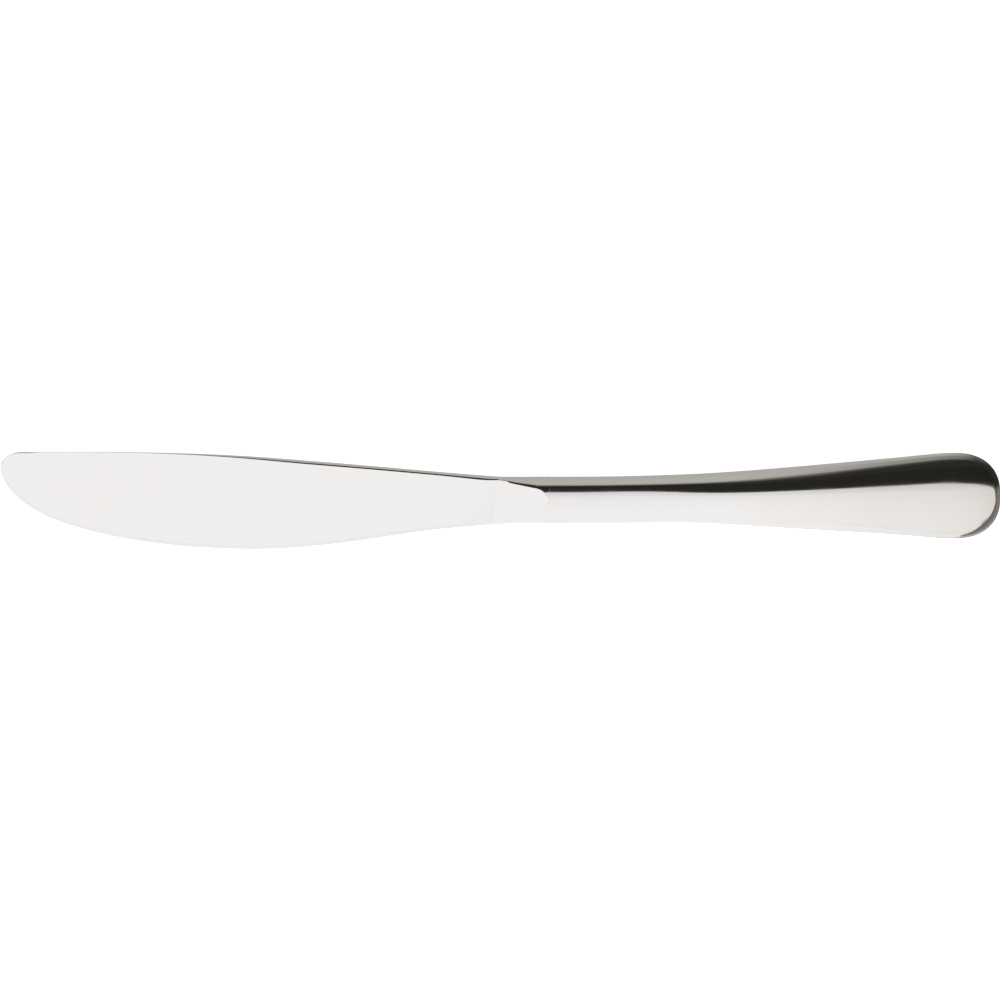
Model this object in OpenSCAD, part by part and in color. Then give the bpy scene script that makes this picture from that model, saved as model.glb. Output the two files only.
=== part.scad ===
// Table knife with a hollow handle, lying on its side.
// The blade tip points to -X and the butt to +X, the spine faces +Y and the
// cutting edge -Y. The handle's belly touches z = 0. All sizes in millimetres.

/* [Overall] */
// Length from the blade tip to the end of the butt
knife_l = 235; // [215:1:255]
// Length of the blade from its tip to the bolster
blade_l = 117.5; // [105:0.5:125]
// Length of the bolster between the blade and the handle
bolster_l = 11.5; // [9:0.5:14]

/* [Blade] */
// Height of the spine above the knife's axis
spine_h = 11.4; // [9:0.1:13]
// Depth of the belly below the knife's axis
belly_h = 11.4; // [9:0.1:13]
// Distance from the tip to the deepest point of the belly
belly_x = 60; // [50:1:70]
// Height of the foremost point of the tip above the axis
tip_h = 7.7; // [6:0.1:8.5]
// Length of the rounded corner between the tip and the spine
tip_corner_l = 5.2; // [3:0.1:8]
// Thickness of the spine at the bolster
spine_t = 2.4; // [2:0.1:2.8]
// Thickness of the spine at the tip
tip_t = 1.2; // [0.9:0.1:1.6]
// Thickness left at the edge under the belly
edge_t = 0.4; // [0.3:0.05:0.6]
// Height of the second bevel that thins the heel beside the bolster
heel_bevel_h = 6; // [4:0.5:8]

/* [Neck and bolster] */
// Height of the neck above the axis
neck_up = 5.6; // [4.6:0.1:6.2]
// Depth of the neck below the axis
neck_down = 5.4; // [4.6:0.1:6]
// Thickness of the neck
neck_t = 7.2; // [6.4:0.1:7.8]
// Length of the bolster's spigot inside the handle
spigot_l = 5; // [3:0.5:8]

/* [Handle] */
// Height of the butt above the axis
butt_up = 11.2; // [9:0.1:13]
// Depth of the butt below the axis
butt_down = 8.9; // [7.5:0.1:11]
// Length of the rounded end of the butt
butt_round_l = 10.9; // [9:0.1:13]
// Height of the hindmost point of the butt above the axis
butt_y = 1.2; // [0:0.1:1.5]
// Thickness of the handle over its belly, where it is thickest
belly_t = 8.9; // [8.3:0.1:9.8]
// Wall thickness of the two half shells
wall = 0.8; // [0.6:0.05:1]

/* [Tang] */
// Length of the tang behind the spigot
tang_l = 46; // [30:1:60]
// Width of the tang at the spigot
tang_w = 6; // [4.5:0.1:6.4]
// Width of the tang at its end
tang_end_w = 3.4; // [2.8:0.1:4.4]
// Thickness of the tang
tang_t = 2; // [1.4:0.1:2.6]
// Number of locking notches on each side of the tang
tang_notches = 3; // [0:1:4]

/* [Joints] */
// Thickness of the braze line between the two half shells
seam_t = 0.12; // [0.08:0.01:0.2]
// Thickness of the braze ring between the bolster and the handle
neck_seam_t = 0.12; // [0.08:0.01:0.2]
// Clearance of the spigot and of the filling inside the shells
clearance = 0.05; // [0.03:0.01:0.1]

/* [Fineness] */
// Ribs along each side of the handle
side_ribs = 30; // [20:2:36]
// Ribs round the butt
end_ribs = 16; // [12:2:20]
// Steps round the rim of a rib
rim_steps = 5; // [4:1:6]
// Steps over the crown of a rib
crown_steps = 3; // [3:1:4]

/* [Hidden] */

mid_z = belly_t / 2;                  // height of the knife's middle plane
x_neck = blade_l;                     // where the bolster starts, from the tip
x_mouth = blade_l + bolster_l;        // where the handle starts
x_round = knife_l - butt_round_l;     // where the butt starts to round
neck_y = (neck_up - neck_down) / 2;

// Smooth curve over evenly spaced handles, u from 0 to 1. The first and last
// value of c only steer the slope at the ends.
function bend(c, u) =
    let (n = len(c) - 3, t = u * n, i = min(floor(t), n - 1), f = t - i)
    (pow(1 - f, 3) * c[i] + (3 * pow(f, 3) - 6 * f * f + 4) * c[i + 1]
     + (-3 * pow(f, 3) + 3 * f * f + 3 * f + 1) * c[i + 2] + pow(f, 3) * c[i + 3]) / 6;

// Shares between neck and spine, tip and belly, heel and belly
spine_c = [1, 1, 1, 1, 0.985, 0.93, 0.835, 0.675, 0.51, 0.335, 0.15, 0, -0.15];
front_belly_c = [-0.27, 0, 0.27, 0.58, 0.79, 0.955, 1.0225, 0.955];
rear_belly_c = [0.944, 1.028, 0.944, 0.79, 0.56, 0.3, 0.135, 0.02, -0.047];

// Shares between neck and butt: upper side, lower side. Share of the thickness
// between neck and belly: the handle is thickest past its middle
upper_c = [0, 0, 0, 0.025, 0.075, 0.15, 0.27, 0.41, 0.56, 0.715, 0.87, 1.065, 0.87];
lower_c = [0, 0, 0, -0.03, -0.08, -0.02, 0.15, 0.32, 0.475, 0.62, 0.82, 1.09, 0.82];
thick_c = [0, 0, 0, 0, 0.25, 0.68, 1, 1, 1, 0.74, 0.58, 0.6, 0.6];
// Rim radius as a share of the half thickness
rim_c = [0.94, 0.94, 0.94, 0.942, 0.936, 0.905, 0.872, 0.833, 0.79, 0.747, 0.675, 0.65, 0.64];

// Bolster's rise out of the blade: share of the bolster's length, share of the
// way from the surface of the blade's spine to that of the neck
rise = [[-0.16, -0.42], [-0.07, -0.14], [0, 0.1], [0.07, 0.26], [0.15, 0.41], [0.23, 0.5],
        [0.31, 0.585], [0.4, 0.665], [0.5, 0.745], [0.62, 0.825], [0.78, 0.915], [0.88, 0.965],
        [0.96, 0.995], [1, 1]];

// ---- blade ----

heel_y = -neck_down - 0.028 * (belly_h - neck_down);
function spine_y(x) = min(spine_h, neck_up + (spine_h - neck_up) * bend(spine_c, x / blade_l));
function belly_y(x) = -neck_down - (belly_h - neck_down)
    * bend(rear_belly_c, (x - belly_x) / (blade_l - belly_x));

blade_outline = concat(
    // tip, down along the front of the belly
    [for (i = [0 : 28]) let (u = i / 28)
        [belly_x * u * u, tip_h - (tip_h + belly_h) * bend(front_belly_c, u)]],
    // belly back to the heel
    [for (i = [1 : 20]) let (x = belly_x + (blade_l - belly_x) * i / 20) [x, belly_y(x)]],
    // end of the plate, buried in the bolster
    [[x_neck + 2.2, -neck_down + 0.05], [x_neck + 2.6, -neck_down + 1.2],
     [x_neck + 2.6, neck_up - 1.2], [x_neck + 2.2, neck_up - 0.4],
     [x_neck + 0.6, neck_up - 0.05]],
    // spine forward to the rounded corner
    [for (i = [24 : -1 : 0]) let (x = tip_corner_l + (blade_l - tip_corner_l) * i / 24)
        [x, spine_y(x)]],
    // rounded corner
    [for (i = [1 : 11]) let (a = 90 - 90 * i / 12)
        [tip_corner_l * (1 - cos(a)), tip_h + (spine_h - tip_h) * sin(a)]]);

// Plane through three points of a flank
flank = [[x_neck, neck_up, spine_t / 2], [0, spine_h, tip_t / 2], [belly_x, -belly_h, edge_t / 2]];
function plane_n(p) = let (n = cross(p[1] - p[0], p[2] - p[0])) n[2] < 0 ? -n : n;
function plane_z(p, x, y) = let (n = plane_n(p))
    p[0][2] - (n[0] * (x - p[0][0]) + n[1] * (y - p[0][1])) / n[2];

bevel_x = blade_l * 0.72;
bevel = [[x_neck, heel_y, edge_t * 0.75], [bevel_x, belly_y(bevel_x), edge_t * 0.75],
         [x_neck, heel_y + heel_bevel_h, plane_z(flank, x_neck, heel_y + heel_bevel_h)]];

// Everything under the plane through three points
module under(p) {
    n = plane_n(p);
    translate(p[0])
        rotate(a = acos(n[2] / norm(n)), v = [-n[1], n[0], 0])
            translate([-250, -60, -14]) cube([400, 120, 14]);
}

module blade_plate() {
    intersection() {
        translate([0, 0, -5]) linear_extrude(height = 10) polygon(blade_outline);
        under(flank);
        mirror([0, 0, 1]) under(flank);
        under(bevel);
        mirror([0, 0, 1]) under(bevel);
    }
}

// ---- ribs of the handle ----

function side_share(x) = (x - x_mouth) / (x_round - x_mouth);
function upper_y(s) = neck_up + (butt_up - neck_up) * bend(upper_c, s);
function lower_y(s) = -neck_down - (butt_down - neck_down) * bend(lower_c, s);
function axis_y(s) = neck_y + (butt_y - neck_y) * bend(upper_c, s);
function half_t(s) = (neck_t + (belly_t - neck_t) * bend(thick_c, s)) / 2;
function rim_r(s) = half_t(s) * bend(rim_c, s);

// A rib runs in plan from the outline P to the middle line C: [C, P, share].
// Ribs go along the upper side, round the butt and back along the lower side.
function ribs(x0) =
    let (s0 = side_share(x0))
    concat(
        [for (i = [0 : side_ribs]) let (s = s0 + (1 - s0) * i / side_ribs,
                                        x = x_mouth + (x_round - x_mouth) * s)
            [[x, axis_y(s)], [x, upper_y(s)], s]],
        [for (i = [1 : end_ribs - 1])
            let (a = 90 - 180 * i / end_ribs,
                 n = 2.36,
                 h = a < 0 ? butt_down + butt_y : butt_up - butt_y,
                 cx = pow(abs(cos(a)), 2 / n), sy = sign(a) * pow(abs(sin(a)), 2 / n))
            [[x_round, butt_y], [x_round + butt_round_l * cx, butt_y + h * sy], 1]],
        [for (i = [side_ribs : -1 : 0]) let (s = s0 + (1 - s0) * i / side_ribs,
                                             x = x_mouth + (x_round - x_mouth) * s)
            [[x, axis_y(s)], [x, lower_y(s)], s]]);

rib_steps = rim_steps + crown_steps;

// Point j of a rib, set in by e from the outer surface. The rim is a round of
// radius r about the middle plane, and the crown a larger arc tangent to it.
function rib_point(rib, j, e, gap) =
    let (d = norm(rib[1] - rib[0]) - e,
         way = (rib[1] - rib[0]) / norm(rib[1] - rib[0]),
         t = half_t(rib[2]) - e,
         r = rim_r(rib[2]) - e,
         R = (pow(d - r, 2) + t * t - r * r) / (2 * (t - r)),
         tilt = asin((d - r) / (R - r)),
         a0 = asin(gap / r),
         a = a0 + (90 - tilt - a0) * j / rim_steps,
         b = tilt * (rib_steps - j) / crown_steps,
         u = j <= rim_steps ? d - r + r * cos(a) : R * sin(b),
         z = j <= rim_steps ? r * sin(a) : t - R * (1 - cos(b)),
         p = rib[0] + way * u)
    [p[0], p[1], z];

// Points of one skin: each rib from the rim inwards, then the middle line
function skin(list, e, gap, up) = concat(
    [for (rib = list) for (j = [0 : rib_steps - 1])
        let (p = rib_point(rib, j, e, gap)) [p[0], p[1], up * p[2]]],
    [for (i = [0 : side_ribs])
        let (p = rib_point(list[i], rib_steps, e, gap)) [p[0], p[1], up * p[2]]]);

// Solid between two skins that have the same ribs
module between(a, b) {
    k_end = 2 * side_ribs + end_ribs;
    shift = len(a);
    function mid(k) = min(k, side_ribs, k_end - k);
    function id(k, j) = j < rib_steps ? k * rib_steps + j
                                      : (k_end + 1) * rib_steps + mid(k);
    faces = concat(
        [for (k = [0 : k_end - 1]) for (j = [0 : rib_steps - 1])
            [id(k, j), id(k + 1, j), id(k + 1, j + 1)]],
        [for (k = [0 : k_end - 1]) for (j = [0 : rib_steps - 1])
            if (j < rib_steps - 1 || mid(k) != mid(k + 1))
                [id(k, j), id(k + 1, j + 1), id(k, j + 1)]],
        [for (k = [0 : k_end - 1]) for (j = [0 : rib_steps - 1])
            [shift + id(k, j), shift + id(k + 1, j + 1), shift + id(k + 1, j)]],
        [for (k = [0 : k_end - 1]) for (j = [0 : rib_steps - 1])
            if (j < rib_steps - 1 || mid(k) != mid(k + 1))
                [shift + id(k, j), shift + id(k, j + 1), shift + id(k + 1, j + 1)]],
        [for (k = [0 : k_end - 1])
            [id(k + 1, 0), id(k, 0), shift + id(k, 0)]],
        [for (k = [0 : k_end - 1])
            [id(k + 1, 0), shift + id(k, 0), shift + id(k + 1, 0)]],
        [for (j = [0 : rib_steps - 1])
            [id(0, j), id(0, j + 1), shift + id(0, j + 1)]],
        [for (j = [0 : rib_steps - 1])
            [id(0, j), shift + id(0, j + 1), shift + id(0, j)]],
        [for (j = [0 : rib_steps - 1])
            [id(k_end, j + 1), id(k_end, j), shift + id(k_end, j)]],
        [for (j = [0 : rib_steps - 1])
            [id(k_end, j + 1), shift + id(k_end, j), shift + id(k_end, j + 1)]]);
    polyhedron(points = concat(a, b), faces = faces);
}

// Section of the neck, set in by e, as points across (y) and up (z)
function neck_section(e) =
    let (up = ribs(x_mouth)[0], down = ribs(x_mouth)[2 * side_ribs + end_ribs],
         half = concat([for (j = [0 : rib_steps]) rib_point(up, j, e, 0)],
                       [for (j = [rib_steps - 1 : -1 : 0]) rib_point(down, j, e, 0)]))
    concat([for (p = half) [p[1], p[2]]],
           [for (i = [len(half) - 2 : -1 : 1]) [half[i][1], -half[i][2]]]);

module neck_bar(x, l, e) {
    translate([x, 0, 0]) rotate([90, 0, 90]) linear_extrude(height = l)
        polygon(neck_section(e));
}

// ---- bolster, spigot and tang ----

module bolster() {
    low = spine_t / 2;
    high = neck_t / 2;
    top = [for (p = rise) [x_neck + bolster_l * p[0], max(0.15, low + (high - low) * p[1])]];
    intersection() {
        neck_bar(x_neck + bolster_l * rise[0][0],
                 bolster_l * (1 - rise[0][0]) - neck_seam_t, 0);
        rotate([90, 0, 0]) translate([0, 0, -20]) linear_extrude(height = 40)
            polygon(concat(top, [for (i = [len(top) - 1 : -1 : 0]) [top[i][0], -top[i][1]]]));
    }
}

module tang() {
    x0 = x_mouth + spigot_l - 1;
    x1 = x_mouth + spigot_l + tang_l;
    pitch = (tang_l - 12) / max(tang_notches, 1);
    translate([0, neck_y, -tang_t / 2]) linear_extrude(height = tang_t)
        difference() {
            polygon([[x0, -tang_w / 2], [x1 - 3, -tang_end_w / 2], [x1, -tang_end_w / 4],
                     [x1, tang_end_w / 4], [x1 - 3, tang_end_w / 2], [x0, tang_w / 2]]);
            if (tang_notches > 0)
                for (i = [1 : tang_notches]) for (side = [-1, 1])
                    let (x = x_mouth + spigot_l + 4 + pitch * (i - 0.5),
                         w = tang_w + (tang_end_w - tang_w) * (x - x0) / (x1 - 3 - x0))
                    translate([x, side * (w / 2 + 0.5)]) circle(r = 1.2, $fn = 32);
        }
}

module blade() {
    color([0.80, 0.80, 0.79])
    translate([-knife_l / 2, 0, mid_z])
        union() {
            blade_plate();
            bolster();
            neck_bar(x_mouth - 1.5, 1.5 + spigot_l, wall + clearance);
            tang();
        }
}

// ---- handle ----

module handle_shell() {
    list = ribs(x_mouth);
    between(skin(list, 0, seam_t / 2, 1), skin(list, wall, seam_t / 2, 1));
}

module front_handle_shell() {
    color([0.83, 0.82, 0.80])
    translate([-knife_l / 2, 0, mid_z]) handle_shell();
}

module back_handle_shell() {
    color([0.76, 0.76, 0.74])
    translate([-knife_l / 2, 0, mid_z]) mirror([0, 0, 1]) handle_shell();
}

// Braze line between the shells, from one side of the mouth round to the other
module seam_braze() {
    list = ribs(x_mouth);
    outer = [for (rib = list) rib[1]];
    inner = [for (i = [len(list) - 1 : -1 : 0]) let (rib = list[i])
        rib[0] + (rib[1] - rib[0]) * (1 - wall / norm(rib[1] - rib[0]))];
    color([0.70, 0.68, 0.60])
    translate([-knife_l / 2, 0, mid_z - seam_t / 2])
        linear_extrude(height = seam_t) polygon(concat(outer, inner));
}

// Braze ring between the bolster's shoulder and the mouth of the handle
module neck_braze() {
    color([0.70, 0.68, 0.60])
    translate([-knife_l / 2, 0, mid_z])
        difference() {
            neck_bar(x_mouth - neck_seam_t, neck_seam_t, 0);
            neck_bar(x_mouth - neck_seam_t - 1, neck_seam_t + 2, wall + clearance);
        }
}

// Hard filling cast round the tang
module handle_filler() {
    list = ribs(x_mouth + spigot_l);
    e = wall + clearance;
    color([0.62, 0.58, 0.52])
    translate([-knife_l / 2, 0, mid_z])
        difference() {
            between(skin(list, e, seam_t / 2, 1), skin(list, e, seam_t / 2, -1));
            tang();
        }
}

blade();
front_handle_shell();
back_handle_shell();
seam_braze();
neck_braze();
handle_filler();
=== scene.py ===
import math

import bmesh
import bpy
import numpy as np
from mathutils import Matrix, Vector


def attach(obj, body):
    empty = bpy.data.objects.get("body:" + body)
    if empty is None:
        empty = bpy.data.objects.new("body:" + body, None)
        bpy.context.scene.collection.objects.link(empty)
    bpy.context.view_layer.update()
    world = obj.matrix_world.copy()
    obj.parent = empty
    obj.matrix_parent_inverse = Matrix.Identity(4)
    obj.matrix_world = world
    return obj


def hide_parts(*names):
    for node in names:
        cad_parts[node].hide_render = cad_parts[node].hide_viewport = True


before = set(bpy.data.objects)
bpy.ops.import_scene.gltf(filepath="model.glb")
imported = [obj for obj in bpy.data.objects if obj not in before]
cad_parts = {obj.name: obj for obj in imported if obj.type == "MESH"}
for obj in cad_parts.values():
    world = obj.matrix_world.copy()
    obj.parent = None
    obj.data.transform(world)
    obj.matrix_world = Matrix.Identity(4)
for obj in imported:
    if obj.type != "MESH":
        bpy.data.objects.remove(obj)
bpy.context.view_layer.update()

MM = 0.001

# ---------------------------------------------------------------- dimensions
# Millimetres, x from the blade tip, y across, z from the knife's middle plane.
KNIFE_L = 235.0
BLADE_L = 117.5
BOLSTER_L = 11.5
SPINE_H, BELLY_H, BELLY_X = 11.4, 11.4, 60.0
TIP_H, TIP_CORNER = 7.7, 5.2
SPINE_T, TIP_T, EDGE_T = 2.4, 1.2, 0.4
HEEL_BEVEL = 6.0
NECK_UP, NECK_DOWN, NECK_T = 5.6, 5.4, 7.2
SPIGOT_L = 5.0
BUTT_UP, BUTT_DOWN, BUTT_ROUND, BUTT_Y, BUTT_N = 11.2, 8.9, 10.9, 1.2, 2.36
BELLY_T = 8.9
WALL, CLEAR = 0.8, 0.05
TANG_L, TANG_W, TANG_END_W, TANG_T, NOTCHES = 46.0, 6.0, 3.4, 2.0, 3
SEAM_T, NECK_SEAM_T = 0.12, 0.12

MID_Z = BELLY_T / 2
X_MOUTH = BLADE_L + BOLSTER_L
X_ROUND = KNIFE_L - BUTT_ROUND
NECK_Y = (NECK_UP - NECK_DOWN) / 2

SPINE_C = [1, 1, 1, 1, 0.985, 0.93, 0.835, 0.675, 0.51, 0.335, 0.15, 0, -0.15]
FRONT_C = [-0.27, 0, 0.27, 0.58, 0.79, 0.955, 1.0225, 0.955]
REAR_C = [0.944, 1.028, 0.944, 0.79, 0.56, 0.3, 0.135, 0.02, -0.047]
UPPER_C = [0, 0, 0, 0.025, 0.075, 0.15, 0.27, 0.41, 0.56, 0.715, 0.87, 1.065, 0.87]
LOWER_C = [0, 0, 0, -0.03, -0.08, -0.02, 0.15, 0.32, 0.475, 0.62, 0.82, 1.09, 0.82]
THICK_C = [0, 0, 0, 0, 0.25, 0.68, 1, 1, 1, 0.74, 0.58, 0.6, 0.6]
RIM_C = [0.94, 0.94, 0.94, 0.942, 0.936, 0.905, 0.872, 0.833, 0.79, 0.747, 0.675, 0.65, 0.64]
RISE = [[-0.16, -0.42], [-0.07, -0.14], [0, 0.1], [0.07, 0.26], [0.15, 0.41], [0.23, 0.5], [0.31, 0.585],
        [0.4, 0.665], [0.5, 0.745], [0.62, 0.825], [0.78, 0.915], [0.88, 0.965], [0.96, 0.995], [1, 1]]


# ---------------------------------------------------------------- curves
def bend(c, u):
    """Uniform cubic B-spline whose first and last handles only steer the ends."""
    n = len(c) - 3
    t = u * n
    i = max(0, min(int(math.floor(t)), n - 1))
    f = t - i
    return ((1 - f) ** 3 * c[i] + (3 * f ** 3 - 6 * f * f + 4) * c[i + 1]
            + (-3 * f ** 3 + 3 * f * f + 3 * f + 1) * c[i + 2] + f ** 3 * c[i + 3]) / 6


def smooth(lo, hi, v):
    t = min(1.0, max(0.0, (v - lo) / (hi - lo)))
    return t * t * (3 - 2 * t)


def mix(a, b, t):
    return a + (b - a) * t


def soft_min(a, b, k):
    h = max(k - abs(a - b), 0.0) / k
    return min(a, b) - h * h * k / 4


def soft_max(a, b, k):
    return -soft_min(-a, -b, k)


def spine_y(x):
    if x < TIP_CORNER:
        q = (TIP_CORNER - x) / TIP_CORNER
        return TIP_H + (SPINE_H - TIP_H) * math.sqrt(max(0.0, 1 - q * q))
    if x < BLADE_L:
        y = NECK_UP + (SPINE_H - NECK_UP) * bend(SPINE_C, x / BLADE_L)
        return min(y, SPINE_H)
    return NECK_UP


def belly_y(x):
    if x < BELLY_X:
        return TIP_H - (TIP_H + BELLY_H) * bend(FRONT_C, math.sqrt(max(0.0, x) / BELLY_X))
    if x < BLADE_L:
        return -NECK_DOWN - (BELLY_H - NECK_DOWN) * bend(REAR_C, (x - BELLY_X) / (BLADE_L - BELLY_X))
    return -NECK_DOWN - (BELLY_H - NECK_DOWN) * bend(REAR_C, 1.0) * max(0.0, 1 - (x - BLADE_L) / 3.6) ** 2


def plane(p):
    """Coefficients of the plane z = a + b x + c y through three points."""
    m = np.array([[1.0, q[0], q[1]] for q in p])
    return np.linalg.solve(m, np.array([q[2] for q in p]))


FLANK = plane([[BLADE_L, NECK_UP, SPINE_T / 2], [0, SPINE_H, TIP_T / 2],
               [BELLY_X, -BELLY_H, EDGE_T / 2]])


def flank_z(x, y):
    return FLANK[0] + FLANK[1] * x + FLANK[2] * y


HEEL_Y = belly_y(BLADE_L - 1e-6)
HEEL_B = plane([[BLADE_L, HEEL_Y, EDGE_T * 0.75],
                [BLADE_L * 0.72, belly_y(BLADE_L * 0.72), EDGE_T * 0.75],
                [BLADE_L, HEEL_Y + HEEL_BEVEL, flank_z(BLADE_L, HEEL_Y + HEEL_BEVEL)]])


def slopes(pts):
    """Monotone slopes at the points of a curve, so that it never overshoots."""
    n = len(pts)
    d = [(pts[i + 1][1] - pts[i][1]) / (pts[i + 1][0] - pts[i][0]) for i in range(n - 1)]
    m = [d[0]]
    for i in range(1, n - 1):
        m.append(0.0 if d[i - 1] * d[i] <= 0 else 2 * d[i - 1] * d[i] / (d[i - 1] + d[i]))
    m.append(d[-1])
    return m


RISE_M = slopes(RISE)


def ramp_z(x):
    """Height of the bolster's ramp over the middle plane."""
    q = (x - BLADE_L) / BOLSTER_L
    low, high = SPINE_T / 2, NECK_T / 2
    if q <= RISE[0][0]:
        v = RISE[0][1] + RISE_M[0] * (q - RISE[0][0])
    else:
        i = max(i for i in range(len(RISE) - 1) if RISE[i][0] <= q + 1e-12)
        (x0, y0), (x1, y1) = RISE[i], RISE[i + 1]
        h = x1 - x0
        t = min(1.0, (q - x0) / h)
        v = ((2 * t ** 3 - 3 * t * t + 1) * y0 + (t ** 3 - 2 * t * t + t) * h * RISE_M[i]
             + (-2 * t ** 3 + 3 * t * t) * y1 + (t ** 3 - t * t) * h * RISE_M[i + 1])
    return low + (high - low) * v


def blade_z(x, y):
    """Half thickness of the blade and bolster, without their edges."""
    plate = soft_min(flank_z(x, y), HEEL_B[0] + HEEL_B[1] * x + HEEL_B[2] * y, 0.14)
    if x > BLADE_L - 5:
        return soft_max(plate, ramp_z(x), 0.16)
    return plate


# ---------------------------------------------------------------- mesh helpers
def to_world(p):
    return ((p[0] - KNIFE_L / 2) * MM, p[1] * MM, (p[2] + MID_Z) * MM)


def make_mesh(name, verts, faces, sharp_deg=38.0, mats=None):
    me = bpy.data.meshes.new(name)
    me.from_pydata([to_world(v) for v in verts], [], faces)
    bm = bmesh.new()
    bm.from_mesh(me)
    if mats is not None:
        for f, m in zip(bm.faces, mats):
            f.material_index = m
    bmesh.ops.remove_doubles(bm, verts=bm.verts, dist=2e-7)
    bmesh.ops.dissolve_degenerate(bm, edges=bm.edges, dist=1e-8)
    bmesh.ops.recalc_face_normals(bm, faces=bm.faces)
    limit = math.radians(sharp_deg)
    for f in bm.faces:
        f.smooth = True
    for e in bm.edges:
        e.smooth = not (len(e.link_faces) == 2 and e.calc_face_angle(0.0) > limit)
    bm.to_mesh(me)
    bm.free()
    me.update()
    ob = bpy.data.objects.new(name, me)
    bpy.context.scene.collection.objects.link(ob)
    return ob


def arc_lengths(pts):
    s = [0.0]
    for a, b in zip(pts, pts[1:]):
        s.append(s[-1] + math.dist(a, b))
    return s


def at_length(pts, s, v):
    """Point and direction at arc length v of a polyline."""
    v = min(max(v, 0.0), s[-1])
    i = int(np.searchsorted(s, v, side="right")) - 1
    i = min(max(i, 0), len(pts) - 2)
    h = s[i + 1] - s[i]
    t = (v - s[i]) / h if h > 0 else 0.0
    a, b = pts[i], pts[i + 1]
    q = math.dist(a, b) or 1.0
    return ((mix(a[0], b[0], t), mix(a[1], b[1], t)), ((b[0] - a[0]) / q, (b[1] - a[1]) / q))


# ---------------------------------------------------------------- handle ribs
def half_t(s):
    return (NECK_T + (BELLY_T - NECK_T) * bend(THICK_C, s)) / 2


def rib_curve(d, s, e, gap, count_rim, count_crown):
    """(u, z) along a rib from the rim to the middle line, set in by e."""
    t = half_t(s) - e
    r = half_t(s) * bend(RIM_C, s) - e
    d = d - e
    R = ((d - r) ** 2 + t * t - r * r) / (2 * (t - r))
    tilt = math.asin((d - r) / (R - r))
    a0 = math.asin(gap / r)
    out = []
    for j in range(count_rim + 1):
        a = a0 + (math.pi / 2 - tilt - a0) * j / count_rim
        out.append((d - r + r * math.cos(a), r * math.sin(a)))
    for j in range(1, count_crown + 1):
        b = tilt * (count_crown - j) / count_crown
        out.append((R * math.sin(b), t - R * (1 - math.cos(b))))
    return out


def handle_ribs(x0, side, end):
    """Ribs [C, P, share] along the upper side, round the butt and back below."""
    s0 = (x0 - X_MOUTH) / (X_ROUND - X_MOUTH)
    up, down = [], []
    for i in range(side + 1):
        s = s0 + (1 - s0) * i / side
        x = X_MOUTH + (X_ROUND - X_MOUTH) * s
        c = (x, NECK_Y + (BUTT_Y - NECK_Y) * bend(UPPER_C, s))
        up.append((c, (x, NECK_UP + (BUTT_UP - NECK_UP) * bend(UPPER_C, s)), s))
        down.append((c, (x, -NECK_DOWN - (BUTT_DOWN - NECK_DOWN) * bend(LOWER_C, s)), s))
    fan = []
    for i in range(1, end):
        a = math.pi / 2 - math.pi * i / end
        h = BUTT_DOWN + BUTT_Y if a < 0 else BUTT_UP - BUTT_Y
        cx = abs(math.cos(a)) ** (2 / BUTT_N)
        sy = math.copysign(abs(math.sin(a)) ** (2 / BUTT_N), a)
        fan.append(((X_ROUND, BUTT_Y), (X_ROUND + BUTT_ROUND * cx, BUTT_Y + h * sy), 1.0))
    return up + fan + down[::-1]


SIDE_RIBS, END_RIBS, RIM_N, CROWN_N = 150, 96, 16, 12


def handle_shell(name, up):
    ribs = handle_ribs(X_MOUTH, SIDE_RIBS, END_RIBS)
    last = RIM_N + CROWN_N
    k_end = len(ribs) - 1
    verts, faces = [], []

    def skin(e):
        base = len(verts)
        for c, p, s in ribs:
            d = math.dist(c, p)
            w = ((p[0] - c[0]) / d, (p[1] - c[1]) / d)
            for u, z in rib_curve(d, s, e, SEAM_T / 2, RIM_N, CROWN_N)[:last]:
                verts.append((c[0] + w[0] * u, c[1] + w[1] * u, up * z))
        for c, p, s in ribs[:SIDE_RIBS + 1]:
            verts.append((c[0], c[1], up * (half_t(s) - e)))

        def vid(k, j):
            if j < last:
                return base + k * last + j
            return base + (k_end + 1) * last + min(k, SIDE_RIBS, k_end - k)
        return vid

    outer, inner = skin(0.0), skin(WALL)
    for vid in (outer, inner):
        for k in range(k_end):
            for j in range(last):
                q = [vid(k, j), vid(k + 1, j), vid(k + 1, j + 1), vid(k, j + 1)]
                if q[2] == q[3]:
                    q = q[:3]
                faces.append(q)
    for k in range(k_end):
        faces.append([outer(k, 0), outer(k + 1, 0), inner(k + 1, 0), inner(k, 0)])
    for k in (0, k_end):
        for j in range(last):
            faces.append([outer(k, j), outer(k, j + 1), inner(k, j + 1), inner(k, j)])
    return make_mesh(name, verts, faces)


def seam_line(name):
    """Ribbon of joint metal between the shells, a hair below their surface."""
    ribs = handle_ribs(X_MOUTH, SIDE_RIBS, END_RIBS)
    hz = SEAM_T / 2
    ring = [(0.002, -hz), (0.007, -hz * 0.55), (0.009, 0.0), (0.007, hz * 0.55), (0.002, hz),
            (WALL, hz), (WALL, -hz)]
    verts, faces = [], []
    for c, p, s in ribs:
        d = math.dist(c, p)
        w = ((p[0] - c[0]) / d, (p[1] - c[1]) / d)
        for e, z in ring:
            verts.append((p[0] - w[0] * e, p[1] - w[1] * e, z))
    n = len(ring)
    for k in range(len(ribs) - 1):
        for j in range(n):
            a, b = k * n + j, k * n + (j + 1) % n
            faces.append([a, b, b + n, a + n])
    faces.append(list(range(n)))
    faces.append([(len(ribs) - 1) * n + j for j in range(n)])
    return make_mesh(name, verts, faces)


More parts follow.
